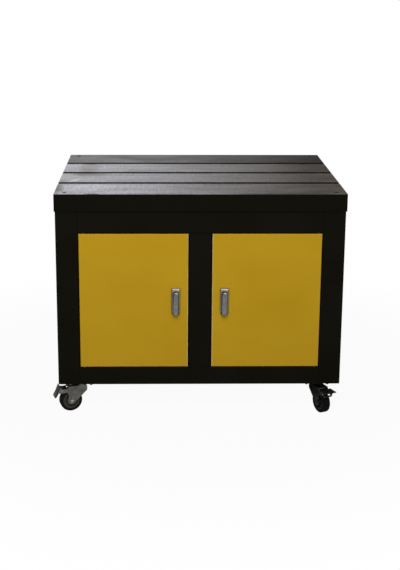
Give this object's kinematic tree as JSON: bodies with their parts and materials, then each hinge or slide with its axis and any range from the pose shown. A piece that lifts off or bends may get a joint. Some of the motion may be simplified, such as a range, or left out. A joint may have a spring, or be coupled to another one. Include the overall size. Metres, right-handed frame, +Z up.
{
  "type": "tapping machine stand",
  "caption": "Mobile machine stand: T-slotted iron table top on a black sheet-steel cabinet with yellow double doors, lift-and-turn handle locks, an inner shelf and braked swivel casters.",
  "frame": {"origin": "on the floor, under the middle of the table top", "axes": "+X to the right along the T-slots seen from the front, +Y towards the back, +Z up; the doors face -Y"},
  "size_m": [1.0364, 0.8426, 0.8],
  "materials": {
    "machined_iron": "milled and ground grey iron, satin, with a fine feed grain along the length",
    "dark_steel": "blackened steel, lightly oiled",
    "black_paint": "black powder coat, low sheen with a fine orange peel",
    "yellow_paint": "ochre yellow powder coat, semi-gloss with a fine orange peel",
    "bronze": "plain turned bronze",
    "zinc_casting": "zinc die casting, satin nickel grey",
    "zinc_plate": "pressed steel, dull bright-zinc plating",
    "nylon": "moulded dark grey nylon",
    "rubber": "matt black solid rubber"
  },
  "bodies": {
    "root": {"top_plate": "machined_iron", "top_screw_front_left": "dark_steel", "top_screw_front_right": "dark_steel", "top_screw_rear_left": "dark_steel", "top_screw_rear_right": "dark_steel", "left_side_panel": "black_paint", "right_side_panel": "black_paint", "front_top_rail": "black_paint", "front_bottom_rail": "black_paint", "centre_post": "black_paint", "floor_tray": "black_paint", "back_panel": "black_paint", "shelf": "black_paint", "left_shelf_rail": "black_paint", "right_shelf_rail": "black_paint", "left_door_top_pin": "dark_steel", "left_door_bottom_pin": "dark_steel", "right_door_top_pin": "dark_steel", "right_door_bottom_pin": "dark_steel", "front_left_caster_plate": "zinc_plate", "front_right_caster_plate": "zinc_plate", "rear_left_caster_plate": "zinc_plate", "rear_right_caster_plate": "zinc_plate"},
    "left_door_leaf": {"left_door": "yellow_paint", "left_door_top_bush": "bronze", "left_door_bottom_bush": "bronze", "left_lock_housing": "zinc_casting", "left_lock_nut": "dark_steel"},
    "right_door_leaf": {"right_door": "yellow_paint", "right_door_top_bush": "bronze", "right_door_bottom_bush": "bronze", "right_lock_housing": "zinc_casting", "right_lock_nut": "dark_steel"},
    "left_latch": {"left_lock_rotor": "zinc_casting", "left_lever_pin": "dark_steel", "left_latch_cam": "dark_steel"},
    "right_latch": {"right_lock_rotor": "zinc_casting", "right_lever_pin": "dark_steel", "right_latch_cam": "dark_steel"},
    "left_handle": {"left_lever": "zinc_casting"},
    "right_handle": {"right_lever": "zinc_casting"},
    "front_left_swivel": {"front_left_caster_fork": "zinc_plate", "front_left_axle_bolt": "zinc_plate"},
    "front_right_swivel": {"front_right_caster_fork": "zinc_plate", "front_right_axle_bolt": "zinc_plate"},
    "rear_left_swivel": {"rear_left_caster_fork": "zinc_plate", "rear_left_axle_bolt": "zinc_plate"},
    "rear_right_swivel": {"rear_right_caster_fork": "zinc_plate", "rear_right_axle_bolt": "zinc_plate"},
    "front_left_wheel": {"front_left_wheel_core": "nylon", "front_left_tyre": "rubber"},
    "front_right_wheel": {"front_right_wheel_core": "nylon", "front_right_tyre": "rubber"},
    "rear_left_wheel": {"rear_left_wheel_core": "nylon", "rear_left_tyre": "rubber"},
    "rear_right_wheel": {"rear_right_wheel_core": "nylon", "rear_right_tyre": "rubber"},
    "front_left_brake": {"front_left_brake_pedal": "zinc_plate"},
    "front_right_brake": {"front_right_brake_pedal": "zinc_plate"}
  },
  "joints": [
    {"name": "left_door_swing", "type": "hinge", "parent": "root", "child": "left_door_leaf", "pos_m": [-0.404, -0.364, 0.1779], "axis": [0, 0, -1], "range_deg": [0, 110]},
    {"name": "right_door_swing", "type": "hinge", "parent": "root", "child": "right_door_leaf", "pos_m": [0.404, -0.364, 0.1779], "axis": [0, 0, 1], "range_deg": [0, 110]},
    {"name": "left_latch_turn", "type": "hinge", "parent": "left_door_leaf", "child": "left_latch", "pos_m": [-0.0845, -0.372, 0.4456], "axis": [0, 1, 0], "range_deg": [0, 90]},
    {"name": "right_latch_turn", "type": "hinge", "parent": "right_door_leaf", "child": "right_latch", "pos_m": [0.0845, -0.372, 0.4456], "axis": [0, -1, 0], "range_deg": [0, 90]},
    {"name": "left_lever_lift", "type": "hinge", "parent": "left_latch", "child": "left_handle", "pos_m": [-0.0845, -0.3841, 0.4456], "axis": [-1, 0, 0], "range_deg": [0, 30]},
    {"name": "right_lever_lift", "type": "hinge", "parent": "right_latch", "child": "right_handle", "pos_m": [0.0845, -0.3841, 0.4456], "axis": [-1, 0, 0], "range_deg": [0, 30]},
    {"name": "front_left_swivel_turn", "type": "hinge", "parent": "root", "child": "front_left_swivel", "pos_m": [-0.421, -0.32, 0.1], "axis": [0, 0, 1], "continuous": true},
    {"name": "front_right_swivel_turn", "type": "hinge", "parent": "root", "child": "front_right_swivel", "pos_m": [0.421, -0.32, 0.1], "axis": [0, 0, 1], "continuous": true},
    {"name": "rear_left_swivel_turn", "type": "hinge", "parent": "root", "child": "rear_left_swivel", "pos_m": [-0.431, 0.334, 0.1], "axis": [0, 0, 1], "continuous": true},
    {"name": "rear_right_swivel_turn", "type": "hinge", "parent": "root", "child": "rear_right_swivel", "pos_m": [0.431, 0.334, 0.1], "axis": [0, 0, 1], "continuous": true},
    {"name": "front_left_wheel_spin", "type": "hinge", "parent": "front_left_swivel", "child": "front_left_wheel", "pos_m": [-0.45904, -0.33236, 0.04], "axis": [0.309, -0.9511, 0], "continuous": true},
    {"name": "front_right_wheel_spin", "type": "hinge", "parent": "front_right_swivel", "child": "front_right_wheel", "pos_m": [0.43727, -0.35654, 0.04], "axis": [0.9135, 0.4067, 0], "continuous": true},
    {"name": "rear_left_wheel_spin", "type": "hinge", "parent": "rear_left_swivel", "child": "rear_left_wheel", "pos_m": [-0.4324, 0.37398, 0.04], "axis": [-0.9994, -0.0349, 0], "continuous": true},
    {"name": "rear_right_wheel_spin", "type": "hinge", "parent": "rear_right_swivel", "child": "rear_right_wheel", "pos_m": [0.47095, 0.33609, 0.04], "axis": [-0.0523, 0.9986, 0], "continuous": true},
    {"name": "front_left_brake_press", "type": "hinge", "parent": "front_left_swivel", "child": "front_left_brake", "pos_m": [-0.49233, -0.34318, 0.082], "axis": [0.309, -0.9511, 0], "range_deg": [-68, 0]},
    {"name": "front_right_brake_press", "type": "hinge", "parent": "front_right_swivel", "child": "front_right_brake", "pos_m": [0.45151, -0.38852, 0.082], "axis": [0.9135, 0.4067, 0], "range_deg": [0, 68]}
  ]
}
